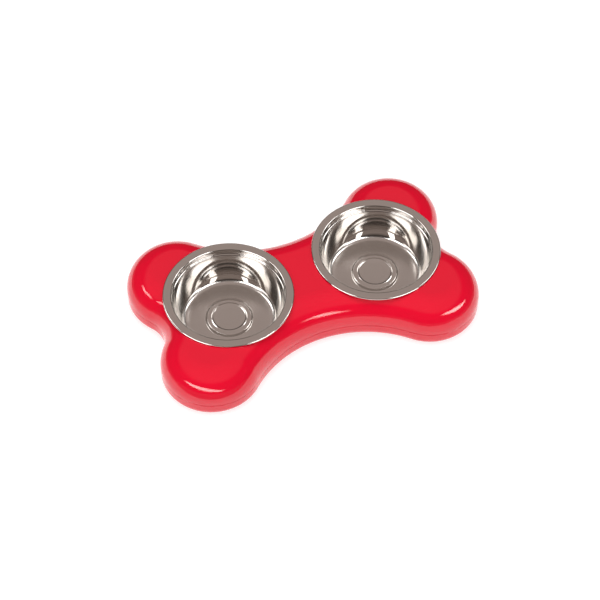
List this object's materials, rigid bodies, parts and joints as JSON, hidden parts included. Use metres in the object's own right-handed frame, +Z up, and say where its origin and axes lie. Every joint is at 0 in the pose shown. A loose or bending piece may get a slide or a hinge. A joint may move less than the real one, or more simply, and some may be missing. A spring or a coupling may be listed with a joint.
{
  "type": "double pet bowl",
  "caption": "Bone-shaped plastic stand on rubber feet that holds round steel pet bowls by their rims; each bowl lifts straight out.",
  "frame": {"origin": "middle of the stand's footprint, on the plane that the feet rest on", "axes": "+X along the bone towards the right bowl, +Y to the back, +Z up"},
  "size_m": [0.333, 0.203, 0.0545],
  "materials": {
    "red_plastic": "glossy moulded plastic",
    "bowl_steel": "polished stainless steel with a satin floor",
    "foot_rubber": "matt black rubber",
    "screw_steel": "zinc-plated steel"
  },
  "bodies": {
    "stand": {"upper_shell": "red_plastic", "lower_shell": "red_plastic", "foot_left_front": "foot_rubber", "foot_left_back": "foot_rubber", "foot_right_front": "foot_rubber", "foot_right_back": "foot_rubber", "screw_left_front": "screw_steel", "screw_left_back": "screw_steel", "screw_right_front": "screw_steel", "screw_right_back": "screw_steel", "screw_middle_front": "screw_steel", "screw_middle_back": "screw_steel"},
    "left_bowl": {"bowl_left": "bowl_steel"},
    "right_bowl": {"bowl_right": "bowl_steel"}
  },
  "joints": [
    {"name": "left_bowl_lift", "type": "slide", "parent": "stand", "child": "left_bowl", "axis": [0, 0, 1], "range_m": [0, 0.06]},
    {"name": "right_bowl_lift", "type": "slide", "parent": "stand", "child": "right_bowl", "axis": [0, 0, 1], "range_m": [0, 0.06]}
  ]
}
